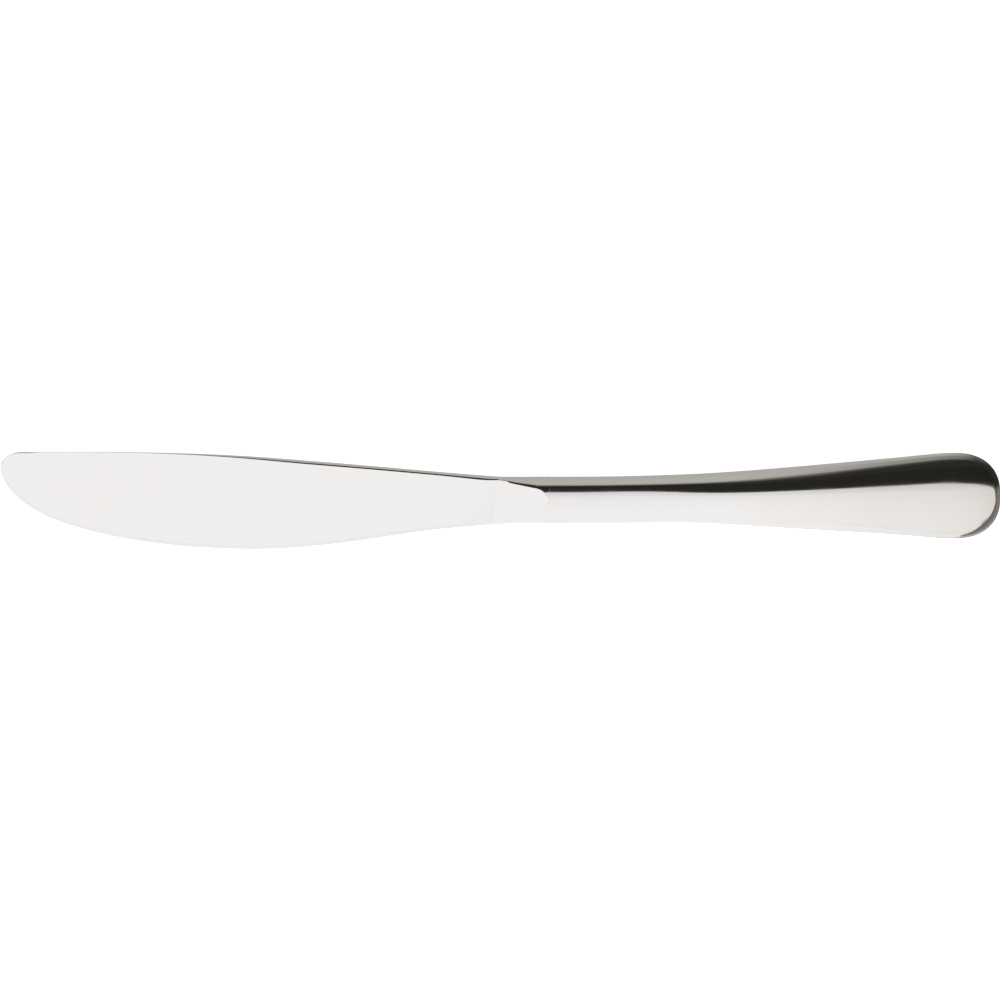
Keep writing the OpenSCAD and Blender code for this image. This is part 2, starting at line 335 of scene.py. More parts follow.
# ---------------------------------------------------------------- neck section
def neck_loop(e, rim=24, crown=20):
    """Closed section of the neck as (y, z), set in by e."""
    d = (NECK_UP + NECK_DOWN) / 2
    q = rib_curve(d, 0.0, e, 0.0, rim, crown)
    up = [(NECK_Y + u, z) for u, z in q]
    down = [(NECK_Y - u, z) for u, z in q[:-1]][::-1]
    half = up + down
    return half + [(y, -z) for y, z in half[-2:0:-1]]


def neck_ring(name):
    """Ring of joint metal at the mouth of the handle."""
    x0, x1 = X_MOUTH - NECK_SEAM_T, X_MOUTH
    prof = [(x0, 0.0004), (mix(x0, x1, 0.25), 0.0008), (mix(x0, x1, 0.5), 0.001),
            (mix(x0, x1, 0.75), 0.0008), (x1, 0.0004), (x1, WALL + CLEAR), (x0, WALL + CLEAR)]
    verts, faces = [], []
    for x, e in prof:
        for y, z in neck_loop(e):
            verts.append((x, y, z))
    n = len(verts) // len(prof)
    for i in range(len(prof)):
        for k in range(n):
            a, b = i * n + k, i * n + (k + 1) % n
            c, d = ((i + 1) % len(prof)) * n + (k + 1) % n, ((i + 1) % len(prof)) * n + k
            faces.append([a, b, c, d])
    return make_mesh(name, verts, faces)


# ---------------------------------------------------------------- blade ribs
NECK_D = (NECK_UP + NECK_DOWN) / 2
SECTION = [(NECK_D - u, z) for u, z in rib_curve(NECK_D, 0.0, 0.0, 0.0, 220, 160)]
FAN_C = (9.0, 4.0)
X_END = X_MOUTH - NECK_SEAM_T


def centre_y(x):
    return mix(FAN_C[1], NECK_Y, smooth(FAN_C[0], BLADE_L - 2, x))


def edge_terms(x, y, side):
    """How an edge of the plate is finished: (section share, sharpness, round)."""
    share = smooth(BLADE_L - 6.5, BLADE_L + 0.3, x)
    if side > 0:
        sharp = 0.0
    else:
        sharp = 1 - smooth(BLADE_L - 9, BLADE_L - 1.5, x)
    if x < 9.0 and y > 2.0:
        sharp = smooth(10.6, 5.6, y) if side < 0 or x < TIP_CORNER else 0.0
    if side > 0:
        rho = mix(mix(0.05, 0.11, smooth(0.5, 4, x)), 0.8, smooth(24, 74, x))
        rho += 0.2 * smooth(1.5, 5.2, x) * smooth(9.5, 6.2, x)
        rho = mix(rho, 1.0, smooth(102, 114, x))
        rho = mix(rho, 0.76, smooth(BLADE_L - 3, BLADE_L + 1, x))
        rho = mix(rho, 1.2, smooth(BLADE_L + 1, BLADE_L + 4.5, x))
        rho = mix(rho, 0.28, smooth(BLADE_L + 7.5, BLADE_L + 11, x))
    else:
        rho = mix(0.4, 0.28, smooth(BLADE_L - 5, BLADE_L + 2, x))
    return share, sharp, rho


EDGE_W, EDGE_LAND = 0.85, 0.03
SIDE_N, ROUND_N, TOP_N = 10, 10, 20


def blade_rib(c, p, nrm, side):
    """Points of a rib of the blade from the outline to the middle: (x, y, z)."""
    d = math.dist(c, p)
    w = ((c[0] - p[0]) / d, (c[1] - p[1]) / d)
    k = 1.0 / max(0.35, abs(w[0] * nrm[0] + w[1] * nrm[1]))
    reach = d / k
    share, sharp, rho = edge_terms(p[0], p[1], side)

    def top(e):
        return blade_z(p[0] + w[0] * e * k, p[1] + w[1] * e * k)

    # side of the rib as far as the top surface
    curve = [(e * share, z) for e, z in SECTION]
    line = [curve[0]]
    for a, b in zip(curve, curve[1:]):
        ga, gb = a[1] - top(a[0]), b[1] - top(b[0])
        if gb >= 0:
            t = -ga / (gb - ga) if gb != ga else 0.0
            line.append((mix(a[0], b[0], t), mix(a[1], b[1], t)))
            break
        line.append(b)
    s = arc_lengths(line)
    corner = line[-1]
    rho = min(rho, 0.94 * s[-1], 0.45 * (reach - corner[0]))
    p1, t1 = at_length(line, s, s[-1] - rho)
    # the round reaches further over the flank than down the side of the spine
    wide = rho
    if side > 0:
        wide *= 1 + 0.35 * smooth(40, 74, p[0]) * smooth(BLADE_L - 1, BLADE_L - 5, p[0])
        wide *= 1 - 0.35 * smooth(BLADE_L + 1, BLADE_L + 4.5, p[0]) * smooth(BLADE_L + 11, BLADE_L + 8, p[0])
    e2 = corner[0] + wide
    p2 = (e2, top(e2))
    g = top(e2 + 1e-3) - top(e2)
    q = math.hypot(1e-3, g)
    t2 = (1e-3 / q, g / q)
    turn = math.acos(max(-1.0, min(1.0, t1[0] * t2[0] + t1[1] * t2[1])))
    kap = 4 / 3 * math.tan(turn / 4) / math.tan(turn / 2) if turn > 1e-3 else 2 / 3
    b = [p1, (p1[0] + t1[0] * rho * kap, p1[1] + t1[1] * rho * kap),
         (p2[0] - t2[0] * wide * kap, p2[1] - t2[1] * wide * kap), p2]
    if sharp > 0:
        f = (EDGE_W, top(EDGE_W))
        o = (0.0, EDGE_LAND)
        straight = [o, (mix(o[0], f[0], 0.3), mix(o[1], f[1], 0.36)),
                    (mix(o[0], f[0], 0.66), mix(o[1], f[1], 0.7)), f]
        b = [(mix(u[0], v[0], sharp), mix(u[1], v[1], sharp)) for u, v in zip(b, straight)]
        p1 = b[0]
    pts = []
    z1 = s[-1] - rho
    for j in range(SIDE_N):
        if sharp > 0:
            q0 = at_length(line, s, z1 * j / SIDE_N)[0]
            pts.append((q0[0] * (1 - sharp), mix(q0[1], EDGE_LAND * j / SIDE_N, sharp)))
        else:
            pts.append(at_length(line, s, z1 * j / SIDE_N)[0])
    for j in range(ROUND_N + 1):
        t = j / ROUND_N
        m = 1 - t
        pts.append(tuple(m ** 3 * b[0][i] + 3 * m * m * t * b[1][i] + 3 * m * t * t * b[2][i]
                         + t ** 3 * b[3][i] for i in (0, 1)))
    e2 = b[3][0]
    for j in range(1, TOP_N):
        t = j / TOP_N
        f = mix(t ** 2.4, t, 0.35) if reach - e2 > 2 else t
        e = mix(e2, reach, f)
        pts.append((e, top(e)))
    out = [(p[0] + w[0] * e * k, p[1] + w[1] * e * k, z) for e, z in pts]
    return out


def blade_stations():
    xs = list(np.linspace(X_END, BLADE_L - 6, 88)) + list(np.linspace(BLADE_L - 6, FAN_C[0], 130))[1:]
    return [float(v) for v in xs]


def outline_normal(fn, x):
    h = 1e-3
    g = (fn(x + h) - fn(x - h)) / (2 * h)
    q = math.hypot(g, 1.0)
    return (-g / q, 1.0 / q)


def blade_mesh(name):
    xs = blade_stations()
    n_s = len(xs) - 1
    ribs = []
    for x in xs:
        ribs.append(blade_rib((x, centre_y(x)), (x, spine_y(x)), outline_normal(spine_y, x), 1))
    # fan round the tip: corner, tip and the first of the belly
    dense = [(x, spine_y(x)) for x in np.linspace(FAN_C[0], TIP_CORNER, 200)]
    dense += [(TIP_CORNER * (1 - math.cos(a)), TIP_H + (SPINE_H - TIP_H) * math.sin(a))
              for a in np.linspace(math.pi / 2, 0, 400)][1:]
    dense += [(u * u * BELLY_X, belly_y(u * u * BELLY_X))
              for u in np.linspace(0, math.sqrt(FAN_C[0] / BELLY_X), 600)][1:]
    s = arc_lengths(dense)
    count = 84
    tip_s = s[200 + 399 - 1]
    for i in range(1, count):
        v = s[-1] * i / count
        p, t = at_length(dense, s, v)
        ribs.append(blade_rib(FAN_C, p, (-t[1], t[0]), 1 if v < tip_s else -1))
    for x in xs[::-1]:
        ribs.append(blade_rib((x, centre_y(x)), (x, belly_y(x)), outline_normal(belly_y, x), -1))
    last = SIDE_N + ROUND_N + TOP_N
    k_end = len(ribs) - 1
    verts, faces, mats = [], [], []
    for rib in ribs:
        verts += rib
    mids = len(verts)
    for x in xs:
        y = centre_y(x)
        verts.append((x, y, blade_z(x, y)))
    back = len(verts)
    for rib in ribs:
        verts += [(a, b, -c) for a, b, c in rib]
    back_mids = len(verts)
    for x in xs:
        y = centre_y(x)
        verts.append((x, y, -blade_z(x, y)))

    def vid(k, j, base, mid):
        if j < last:
            return base + k * last + j
        return mid + min(k, n_s, k_end - k)

    for base, mid in ((0, mids), (back, back_mids)):
        for k in range(k_end):
            for j in range(last):
                q = [vid(k, j, base, mid), vid(k + 1, j, base, mid),
                     vid(k + 1, j + 1, base, mid), vid(k, j + 1, base, mid)]
                if q[2] == q[3]:
                    q = q[:3]
                faces.append(q)
                x = min(ribs[k][0][0], ribs[min(k + 1, k_end)][0][0])
                under = k > n_s + count * 0.55
                mats.append(1 if under and j < SIDE_N + ROUND_N and x < BLADE_L - 4 else 0)
    # shoulder, spigot and its end
    loop = ([vid(0, j, 0, mids) for j in range(last + 1)]
            + [vid(k_end, j, 0, mids) for j in range(last - 1, -1, -1)]
            + [vid(k_end, j, back, back_mids) for j in range(1, last + 1)]
            + [vid(0, j, back, back_mids) for j in range(last - 1, 0, -1)])
    pts = [verts[i] for i in loop]
    s = arc_lengths([(v[1], v[2]) for v in pts] + [(pts[0][1], pts[0][2])])
    inset = neck_loop(WALL + CLEAR)
    closed = inset + [inset[0]]
    si = arc_lengths(closed)
    rings = [loop]
    x2 = X_MOUTH + SPIGOT_L
    for x, e in ((X_END, 0.0), (x2 - 0.4, 0.0), (x2, 0.4)):
        ring = []
        for v in s[:-1]:
            y, z = at_length(closed, si, si[-1] * v / s[-1])[0]
            f = 1 - e / 3.5
            ring.append(len(verts))
            verts.append((x, NECK_Y + (y - NECK_Y) * f, z * f))
        rings.append(ring)
    for a, b in zip(rings, rings[1:]):
        for i in range(len(a)):
            j = (i + 1) % len(a)
            faces.append([a[i], a[j], b[j], b[i]])
            mats.append(0)
    hub = len(verts)
    verts.append((x2, NECK_Y, 0.0))
    for i in range(len(rings[-1])):
        faces.append([rings[-1][i], rings[-1][(i + 1) % len(rings[-1])], hub])
        mats.append(0)
    return make_mesh(name, verts, faces, mats=mats)


def tang_mesh(name):
    """Notched tang with eased edges."""
    x0 = X_MOUTH + SPIGOT_L - 0.6
    x1 = X_MOUTH + SPIGOT_L + TANG_L
    pitch = (TANG_L - 12) / max(NOTCHES, 1)
    h = TANG_T / 2

    def half_w(x):
        return (TANG_W + (TANG_END_W - TANG_W) * (x - x0) / (x1 - 3 - x0)) / 2

    # each notch is a circle of radius 1.2 centred 0.5 outside the edge
    upper = [(x0, half_w(x0))]
    lean = math.asin(0.5 / 1.2)
    for i in range(NOTCHES):
        m = X_MOUTH + SPIGOT_L + 4 + pitch * (i + 0.5)
        w = half_w(m)
        for j in range(17):
            t = math.pi + lean + (math.pi - 2 * lean) * j / 16
            upper.append((m + 1.2 * math.cos(t), w + 0.5 + 1.2 * math.sin(t)))
    upper.append((x1 - 3, TANG_END_W / 2))
    for j in range(1, 9):
        upper.append((mix(x1 - 3, x1, j / 8), mix(TANG_END_W / 2, TANG_END_W / 4, (j / 8) ** 1.6)))
    outline = [(a, NECK_Y + b) for a, b in upper] + [(a, NECK_Y - b) for a, b in upper[::-1]]
    n = len(outline)
    verts = [(a, b, -h) for a, b in outline] + [(a, b, h) for a, b in outline]
    faces = [list(range(n))[::-1], list(range(n, 2 * n))]
    faces += [[i, (i + 1) % n, n + (i + 1) % n, n + i] for i in range(n)]
    ob = make_mesh(name, verts, faces)
    bm = bmesh.new()
    bm.from_mesh(ob.data)
    rim = [e for e in bm.edges if abs(e.verts[0].co.z - e.verts[1].co.z) < 1e-9]
    bmesh.ops.bevel(bm, geom=rim, offset=0.12 * MM, segments=3, profile=0.5, affect="EDGES")
    bmesh.ops.triangulate(bm, faces=[f for f in bm.faces if len(f.verts) > 4])
    bmesh.ops.recalc_face_normals(bm, faces=bm.faces)
    bm.to_mesh(ob.data)
    bm.free()
    return ob


# ---------------------------------------------------------------- node helpers
class Nodes:
    def __init__(self, tree):
        self.t = tree
        tree.nodes.clear()

    def add(self, kind, **sets):
        n = self.t.nodes.new(kind)
        for k, v in sets.items():
            setattr(n, k, v)
        return n

    def link(self, a, b):
        self.t.links.new(a, b)

    def put(self, socket, v):
        if hasattr(v, "is_output") or isinstance(v, bpy.types.NodeSocket):
            self.link(v, socket)
        else:
            socket.default_value = v

    def math(self, op, a, b=None, c=None, clamp=False):
        n = self.add("ShaderNodeMath", operation=op, use_clamp=clamp)
        for i, v in enumerate((a, b, c)):
            if v is not None:
                self.put(n.inputs[i], v)
        return n.outputs[0]

    def step(self, v, lo, hi, a=0.0, b=1.0):
        n = self.add("ShaderNodeMapRange", interpolation_type="SMOOTHSTEP", clamp=True)
        self.put(n.inputs[0], v)
        for i, q in enumerate((lo, hi, a, b)):
            self.put(n.inputs[i + 1], q)
        return n.outputs[0]

    def blend(self, f, a, b):
        n = self.add("ShaderNodeMix", data_type="RGBA")
        self.put(n.inputs[0], f)
        self.put(n.inputs[6], a)
        self.put(n.inputs[7], b)
        return n.outputs[2]

    def mapping(self, vec, scale, rot=(0, 0, 0), loc=(0, 0, 0)):
        n = self.add("ShaderNodeMapping")
        self.link(vec, n.inputs[0])
        n.inputs[1].default_value = loc
        n.inputs[2].default_value = rot
        n.inputs[3].default_value = scale
        return n.outputs[0]

    def noise(self, vec, scale, detail=3.0, rough=0.5, distort=0.0):
        n = self.add("ShaderNodeTexNoise")
        self.link(vec, n.inputs["Vector"])
        n.inputs["Scale"].default_value = scale
        n.inputs["Detail"].default_value = detail
        n.inputs["Roughness"].default_value = rough
        n.inputs["Distortion"].default_value = distort
        return n.outputs[0]

    def bump(self, height, distance, strength=1.0, normal=None):
        n = self.add("ShaderNodeBump")
        n.inputs["Strength"].default_value = strength
        n.inputs["Distance"].default_value = distance
        self.link(height, n.inputs["Height"])
        if normal is not None:
            self.link(normal, n.inputs["Normal"])
        return n.outputs[0]


def new_material(name):
    m = bpy.data.materials.new(name)
    m.use_nodes = True
    return m, Nodes(m.node_tree)


def principled(t, **vals):
    out = t.add("ShaderNodeOutputMaterial")
    bs = t.add("ShaderNodeBsdfPrincipled")
    t.link(bs.outputs[0], out.inputs[0])
    for k, v in vals.items():
        t.put(bs.inputs[k.replace("_", " ")], v)
    return bs


def steel(name, tint, low, high, lines, wave, seed):
    """Polished steel: soft smudges, hairline scratches along the piece and a
    very slight waviness left by the polishing wheel."""
    m, t = new_material(name)
    co = t.add("ShaderNodeTexCoord").outputs["Object"]
    mm = t.mapping(co, (1000, 1000, 1000), loc=(seed * 17.3, seed * 5.1, seed * 2.7))
    smudge = t.step(t.noise(mm, 0.11, 4, 0.6, 0.6), 0.42, 0.72)
    cloud = t.noise(mm, 0.035, 2, 0.5)
    hair = t.noise(t.mapping(mm, (0.05, 5.5, 5.5), rot=(0, 0, math.radians(2.0))), 1.0, 2, 0.55)
    hair2 = t.noise(t.mapping(mm, (0.08, 7.0, 7.0), rot=(0, 0, math.radians(-9.0))), 1.0, 1, 0.5)
    line = t.math("ADD", t.step(hair, 0.62, 0.72), t.math("MULTIPLY", t.step(hair2, 0.68, 0.76), 0.6), clamp=True)
    rough = t.math("ADD", low, t.math("MULTIPLY", smudge, (high - low) * 0.55))
    rough = t.math("ADD", rough, t.math("MULTIPLY", line, lines))
    rough = t.math("ADD", rough, t.math("MULTIPLY", cloud, (high - low) * 0.45), clamp=True)
    dark = tuple(c * 0.985 for c in tint[:3]) + (1,)
    warm = (tint[0], tint[1] * 0.992, tint[2] * 0.978, 1)
    col = t.blend(smudge, tint, dark)
    col = t.blend(t.math("MULTIPLY", cloud, 0.6), col, warm)
    n = t.bump(t.noise(mm, wave[0], 1, 0.4), wave[1] * MM, 1.0)
    n = t.bump(t.math("SUBTRACT", 1.0, line), 0.00012 * MM * 1.0, 1.0, n)
    principled(t, Base_Color=col, Metallic=1.0, Roughness=rough, Normal=n)
    return m


def ground_edge(name, tint, seed):
    """Ground cutting edge: fine lines across the bevel."""
    m, t = new_material(name)
    co = t.add("ShaderNodeTexCoord").outputs["Object"]
    mm = t.mapping(co, (1000, 1000, 1000), loc=(seed, 0, 0))
    lines = t.noise(t.mapping(mm, (16, 0.9, 0.9), rot=(0, 0, math.radians(8))), 1.0, 3, 0.6)
    patch = t.noise(mm, 0.2, 2, 0.5)
    rough = t.math("ADD", 0.14, t.math("MULTIPLY", lines, 0.12))
    rough = t.math("ADD", rough, t.math("MULTIPLY", patch, 0.05))
    col = t.blend(lines, tint, tuple(c * 0.96 for c in tint[:3]) + (1,))
    n = t.bump(lines, 0.0012 * MM, 1.0)
    principled(t, Base_Color=col, Metallic=1.0, Roughness=rough, Normal=n)
    return m


def braze(name):
    """Dressed joint metal: a silvery alloy, slightly satin, with tiny pores painted in as darker spots of shade.
    """
    m, t = new_material(name)
    co = t.add("ShaderNodeTexCoord").outputs["Object"]
    mm = t.mapping(co, (1000, 1000, 1000))
    grain = t.noise(mm, 6.0, 3, 0.6)
    patch = t.noise(mm, 0.5, 2, 0.5)
    pore_shade = t.step(t.noise(mm, 14.0, 1, 0.5), 0.7, 0.8)
    col = t.blend(patch, (0.868, 0.848, 0.826, 1), (0.84, 0.815, 0.785, 1))
    # painted shade: the pores darken the colour, and the bump gives them no depth
    col = t.blend(pore_shade, col, (0.70, 0.665, 0.61, 1))
    rough = t.math("ADD", 0.15, t.math("MULTIPLY", grain, 0.12))
    n = t.bump(grain, 0.002 * MM, 1.0)
    principled(t, Base_Color=col, Metallic=1.0, Roughness=rough, Normal=n)
    return m


def cement(name):
    """Hard cast filling: fine sand in a pale binder."""
    m, t = new_material(name)
    co = t.add("ShaderNodeTexCoord").outputs["Object"]
    mm = t.mapping(co, (1000, 1000, 1000))
    sand = t.noise(mm, 5.0, 5, 0.65)
    blot = t.noise(mm, 0.35, 3, 0.5)
    v = t.add("ShaderNodeTexVoronoi")
    t.link(mm, v.inputs["Vector"])
    v.inputs["Scale"].default_value = 2.6
    # pits round the Voronoi cell centres: the bump sinks them in, and the colour darkens them as painted shade
    pit_depth_and_shade = t.step(v.outputs["Distance"], 0.0, 0.22, 1.0, 0.0)
    col = t.blend(sand, (0.40, 0.36, 0.30, 1), (0.66, 0.62, 0.54, 1))
    col = t.blend(t.math("MULTIPLY", blot, 0.5), col, (0.52, 0.46, 0.38, 1))
    # painted shade in the pits: their colour is darkened
    col = t.blend(t.math("MULTIPLY", pit_depth_and_shade, 0.6), col, (0.22, 0.19, 0.16, 1))
    rough = t.math("ADD", 0.78, t.math("MULTIPLY", sand, 0.18))
    h = t.math("SUBTRACT", sand, t.math("MULTIPLY", pit_depth_and_shade, 0.8))
    n = t.bump(h, 0.05 * MM, 0.8)
    principled(t, Base_Color=col, Roughness=rough, Normal=n)
    return m


TINT = (0.878, 0.862, 0.852, 1)
blade_steel = steel("polished_blade_steel", TINT, 0.06, 0.11, 0.035, (0.05, 0.0012), 1.0)
handle_steel = steel("polished_handle_steel", TINT, 0.07, 0.12, 0.04, (0.05, 0.002), 2.0)
tang_steel = steel("forged_tang_steel", (0.62, 0.60, 0.58, 1), 0.3, 0.45, 0.08, (0.6, 0.02), 3.0)
edge_steel = ground_edge("ground_edge_steel", TINT, 4.0)
braze_metal = braze("dressed_braze")
filling = cement("cast_filling")

# ---------------------------------------------------------------- pieces
blade = blade_mesh("blade_and_bolster")
blade.data.materials.append(blade_steel)
blade.data.materials.append(edge_steel)
tang = tang_mesh("tang")
tang.data.materials.append(tang_steel)
front = handle_shell("front_handle", 1)
front.data.materials.append(handle_steel)
back = handle_shell("back_handle", -1)
back.data.materials.append(handle_steel)
seam = seam_line("handle_seam_line")
seam.data.materials.append(braze_metal)
ring = neck_ring("neck_ring")
ring.data.materials.append(braze_metal)

for ob, node, slot in ((blade, "blade", "blade_steel"), (tang, "blade", "blade_steel"),
                       (front, "front_handle_shell", "handle_steel"),
                       (back, "back_handle_shell", "handle_steel"),
                       (seam, "seam_braze", "braze_alloy"), (ring, "neck_braze", "braze_alloy")):
    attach(ob, "root")
    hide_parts(node)

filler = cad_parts["handle_filler"]
for i in range(len(filler.material_slots)):
    filler.material_slots[i].material = filling
if not filler.material_slots:
    filler.data.materials.append(filling)

# ---------------------------------------------------------------- floor and backdrop
# The knife lies on its butt and its tip, so the floor leans a degree towards the
# tip under a knife whose handle is level.
def resting_line():
    """Slope and height of the floor under the knife: the lowest line that holds it
    on both sides of its middle."""
    pts = sorted({(round(v.co.x, 6), v.co.z) for ob in (blade, back) for v in ob.data.vertices})
    low = {}
    for x, z in pts:
        low[x] = min(z, low.get(x, 1.0))
    hull = []
    for x in sorted(low):
        p = (x, low[x])
        while len(hull) > 1 and ((hull[-1][0] - hull[-2][0]) * (p[1] - hull[-2][1])
                                 - (hull[-1][1] - hull[-2][1]) * (p[0] - hull[-2][0])) <= 0:
            hull.pop()
        hull.append(p)
    for (xa, za), (xb, zb) in zip(hull, hull[1:]):
        if xa <= 0.012 <= xb:
            return (zb - za) / (xb - xa), xa, za


slope, REST_X, REST_Z = resting_line()


def floor_z(x):
    return REST_Z + slope * (x * MM - REST_X) - 0.02 * MM


def stage_plane(name, size, n):
    vs, fs = [], []
    for i in range(n + 1):
        for j in range(n + 1):
            x = -size + 2 * size * i / n
            y = -size + 2 * size * j / n
            vs.append((x, y, floor_z(x / MM)))
    for i in range(n):
        for j in range(n):
            a = i * (n + 1) + j
            fs.append((a, a + n + 1, a + n + 2, a + 1))
    me = bpy.data.meshes.new(name)
    me.from_pydata(vs, [], fs)
    ob = bpy.data.objects.new(name, me)
    bpy.context.scene.collection.objects.link(ob)
    return ob


floor = stage_plane("floor", 3.0, 8)
m, t = new_material("pale_floor")
co = t.add("ShaderNodeTexCoord").outputs["Object"]
grain = t.noise(co, 900.0, 3, 0.5)
col = t.blend(grain, (0.90, 0.90, 0.895, 1), (0.87, 0.87, 0.865, 1))
bs = principled(t, Base_Color=col, Roughness=0.7)
bs.inputs["Specular IOR Level"].default_value = 0.2
bs.inputs["Emission Color"].default_value = (1, 1, 1, 1)
bs.inputs["Emission Strength"].default_value = 0.8
floor.data.materials.append(m)
floor.visible_glossy = False

dome_me = bpy.data.meshes.new("backdrop")
bm = bmesh.new()
bmesh.ops.create_icosphere(bm, subdivisions=4, radius=2.9)
bm.to_mesh(dome_me)
bm.free()
dome = bpy.data.objects.new("backdrop", dome_me)
bpy.context.scene.collection.objects.link(dome)
m, t = new_material("pale_backdrop")
out = t.add("ShaderNodeOutputMaterial")
em = t.add("ShaderNodeEmission")
em.inputs[0].default_value = (1, 1, 1, 1)
em.inputs[1].default_value = 1.0
t.link(em.outputs[0], out.inputs[0])
dome.data.materials.append(m)
dome.visible_diffuse = False
dome.visible_glossy = False
dome.visible_transmission = False
dome.visible_shadow = False
dome.visible_volume_scatter = False

# ---------------------------------------------------------------- card and gel
# A grey card stands behind the knife. It falls off to the right and at its top.
# A gel hangs over the handle and takes a little of the overhead light away at the
# back and to the right. They are seen in reflections only.
def ramp_of(t, value, lo, hi, stops):
    """Colour ramp over a value in metres: stops are (place, colour)."""
    n = t.add("ShaderNodeValToRGB")
    t.link(t.math("DIVIDE", t.math("SUBTRACT", value, lo), hi - lo, clamp=True), n.inputs[0])
    e = n.color_ramp.elements
    while len(e) < len(stops):
        e.new(1.0)
    for i, (at, col) in enumerate(stops):
        e[i].position = (at - lo) / (hi - lo)
    for i, (at, col) in enumerate(stops):
        e[i].color = (*col, 1)
    return n.outputs[0]


def panel(name, corners):
    me = bpy.data.meshes.new(name)
    me.from_pydata(corners, [], [(0, 1, 2, 3)])
    ob = bpy.data.objects.new(name, me)
    bpy.context.scene.collection.objects.link(ob)
    ob.visible_camera = False
    ob.visible_diffuse = False
    ob.visible_transmission = False
    ob.visible_shadow = False
    ob.visible_volume_scatter = False
    return ob


card = panel("grey_card", [(-0.9, 0.2, -0.8), (0.9, 0.2, -0.8), (0.9, 0.2, 0.28), (-0.9, 0.2, 0.28)])
m, t = new_material("card_light")
out = t.add("ShaderNodeOutputMaterial")
em = t.add("ShaderNodeEmission")
t.link(em.outputs[0], out.inputs[0])
sep = t.add("ShaderNodeSeparateXYZ")
t.link(t.add("ShaderNodeTexCoord").outputs["Object"], sep.inputs[0])
greys = [(0.05, 0.5), (0.07, 0.47), (0.085, 0.385), (0.1, 0.305), (0.12, 0.245), (0.143, 0.205),
         (0.165, 0.15), (0.213, 0.046), (0.3, 0.026)]
grey = ramp_of(t, sep.outputs[0], 0.0, 0.3, [(at, (g, g * 0.967, g * 0.904)) for at, g in greys])
low = ramp_of(t, sep.outputs[0], 0.0, 0.4, [(0.12, (0.47, 0.455, 0.43)), (0.2, (0.13, 0.125, 0.116)), (0.35, (0.03, 0.03, 0.026))])
col = t.blend(t.step(sep.outputs[2], -0.09, 0.035), low, grey)
lean = t.math("ADD", sep.outputs[2], t.math("MULTIPLY", t.math("MAXIMUM", sep.outputs[0], 0.0), 0.4))
col = t.blend(t.step(lean, 0.14, 0.275), col, (0.024, 0.024, 0.02, 1))
t.link(col, em.inputs[0])
card.data.materials.append(m)

gel = panel("gel", [(-0.02, -2.8, 0.3), (2.8, -2.8, 0.3), (2.8, 0.35, 0.3), (-0.02, 0.35, 0.3)])
m, t = new_material("gel")
out = t.add("ShaderNodeOutputMaterial")
tr = t.add("ShaderNodeBsdfTransparent")
t.link(tr.outputs[0], out.inputs[0])
sep = t.add("ShaderNodeSeparateXYZ")
t.link(t.add("ShaderNodeTexCoord").outputs["Object"], sep.inputs[0])
along = [(0.06, 1.0), (0.098, 0.964), (0.118, 0.952), (0.129, 0.938), (0.137, 0.912), (0.17, 0.905),
         (0.27, 0.88), (0.4, 0.84), (0.7, 0.8)]
fx = ramp_of(t, sep.outputs[0], 0.0, 0.7, [(at, (f, f ** 1.25, f ** 1.5)) for at, f in along])
across = [(-0.25, 1.0), (-0.12, 0.985), (-0.05, 0.965), (0.0, 0.94), (0.025, 0.92), (0.05, 0.82), (0.08, 0.77)]
gy = ramp_of(t, sep.outputs[1], -0.25, 0.1, [(at, (g, g, g)) for at, g in across])
mul = t.add("ShaderNodeMix", data_type="RGBA", blend_type="MULTIPLY")
mul.inputs[0].default_value = 1.0
t.link(fx, mul.inputs[6])
t.link(gy, mul.inputs[7])
# it starts over the neck and fades out towards the front
part = t.math("MULTIPLY", t.step(sep.outputs[0], -0.01, 0.008), t.step(sep.outputs[1], -1.7, -0.28))
t.link(t.blend(part, (1, 1, 1, 1), mul.outputs[2]), tr.inputs[0])
gel.data.materials.append(m)

# a second gel hangs in front of the handle's back half, below the first one's reach
front_gel = panel("front_gel", [(0.03, -0.1, -0.5), (0.5, -0.1, -0.5), (0.5, -0.1, 0.12), (0.03, -0.1, 0.12)])
m, t = new_material("front_gel")
out = t.add("ShaderNodeOutputMaterial")
tr = t.add("ShaderNodeBsdfTransparent")
t.link(tr.outputs[0], out.inputs[0])
sep = t.add("ShaderNodeSeparateXYZ")
t.link(t.add("ShaderNodeTexCoord").outputs["Object"], sep.inputs[0])
along = [(0.048, 1.0), (0.078, 0.985), (0.09, 0.97), (0.1, 0.945), (0.11, 0.92)]
fx = ramp_of(t, sep.outputs[0], 0.03, 0.13, [(at, (f, f ** 1.05, f ** 1.1)) for at, f in along])
t.link(t.blend(t.step(sep.outputs[2], 0.015, 0.11, 1.0, 0.0), (1, 1, 1, 1), fx), tr.inputs[0])
front_gel.data.materials.append(m)

# ---------------------------------------------------------------- studio light
# A broad soft light overhead and to the front and left, a dark gap behind it,
# a grey wall at the back, a pale board at the back left and a dim right side.
world = bpy.data.worlds.new("studio")
bpy.context.scene.world = world
world.use_nodes = True
t = Nodes(world.node_tree)
wout = t.add("ShaderNodeOutputWorld")
bg = t.add("ShaderNodeBackground")
t.link(bg.outputs[0], wout.inputs[0])
sep = t.add("ShaderNodeSeparateXYZ")
t.link(t.add("ShaderNodeTexCoord").outputs["Generated"], sep.inputs[0])
X, Y, Z = sep.outputs
# softbox: overhead, and down to the floor in front and on the left
up = t.math("MAXIMUM", Z, 0.0)
e_back = t.math("SUBTRACT", Y, t.math("MULTIPLY", up, 0.271))
e_back = t.math("ADD", e_back, t.math("MULTIPLY", t.math("MAXIMUM", t.math("SUBTRACT", X, 0.1), 0.0), 0.18))
in_front = t.step(e_back, -0.014, 0.014, 1.0, 0.0)
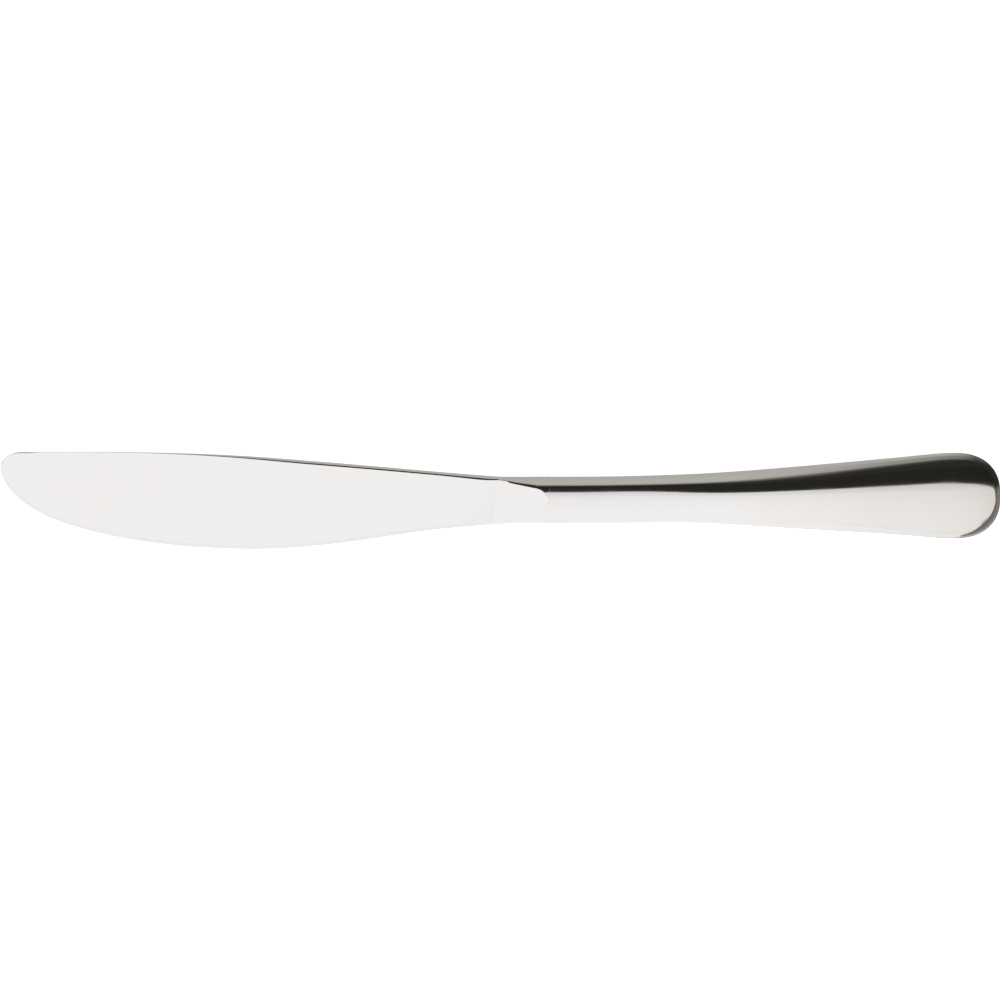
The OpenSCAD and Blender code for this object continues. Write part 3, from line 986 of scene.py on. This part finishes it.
# the dim side on the right reaches less high towards its two ends
past_a = t.math("SUBTRACT", t.math("MULTIPLY", X, 0.45), t.math("MULTIPLY", Y, 1.15))
past_b = t.math("ADD", t.math("MULTIPLY", X, 1.87), t.math("MULTIPLY", Y, 0.33))
past = t.step(t.math("SUBTRACT", t.math("SMOOTH_MIN", past_a, past_b, 0.3), Z), -0.07, 0.09)
past = t.math("MULTIPLY", past, t.step(t.math("ADD", X, t.math("MULTIPLY", Y, 0.16)), -0.02, 0.04))
in_left = t.math("SUBTRACT", 1.0, past)
box = t.math("MULTIPLY", in_front, in_left)
box_col = (1.0, 1.0, 1.0, 1)
# grey wall at the back, its top edge soft
e_wall = t.math("SUBTRACT", Y, Z)
wall_up = t.step(e_wall, -0.2, 0.3)
e_side = t.math("SUBTRACT", X, t.math("MULTIPLY", Y, 0.3))
wall_side = t.step(e_side, -0.1, 0.12, 1.0, 0.0)
wall = t.math("MULTIPLY", wall_up, wall_side)
wall_col = (0.52, 0.503, 0.47, 1)
# dim right side in front, dark towards the back, paler below the horizon
dim = t.step(Y, 0.02, 0.18, 1.0, 0.0)
glow = t.math("MULTIPLY", t.step(Z, -0.75, -0.05, 1.0, 0.0), t.step(Y, -0.8, -0.15, 1.0, 0.0))
dim_col = t.blend(glow, (0.215, 0.208, 0.197, 1), (0.6, 0.585, 0.56, 1))
dark_col = t.blend(dim, (0.024, 0.024, 0.02, 1), dim_col)
col = t.blend(wall, dark_col, wall_col)
# the light on the left is carried round to the back by a paler board
board = t.step(t.math("ADD", X, t.math("MULTIPLY", Z, 0.1)), -0.38, -0.27, 1.0, 0.0)
board_col = t.blend(t.step(Z, -0.1, 0.9), (0.62, 0.605, 0.58, 1), (0.84, 0.83, 0.81, 1))
col = t.blend(board, col, board_col)
col = t.blend(box, col, box_col)
t.link(col, bg.inputs[0])
bg.inputs[1].default_value = 1.0

# ---------------------------------------------------------------- camera
cam_data = bpy.data.cameras.new("camera")
cam_data.type = "PERSP"
cam_data.lens = 150.0
cam_data.sensor_width = 36.0
cam_data.sensor_fit = "HORIZONTAL"
cam_data.clip_start = 0.05
cam_data.clip_end = 20.0
cam_data.dof.use_dof = False
cam = bpy.data.objects.new("camera", cam_data)
bpy.context.scene.collection.objects.link(cam)
SPAN = 235.0
dist = SPAN / 36.0 * 150.0
cam.matrix_world = Matrix.Translation(Vector((-0.1175 * MM, 0.1175 * MM, (MID_Z + dist) * MM)))
bpy.context.scene.camera = cam

view = bpy.context.scene.view_settings
view.view_transform = "Standard"
view.look = "None"
view.exposure = 0.0
view.gamma = 1.0
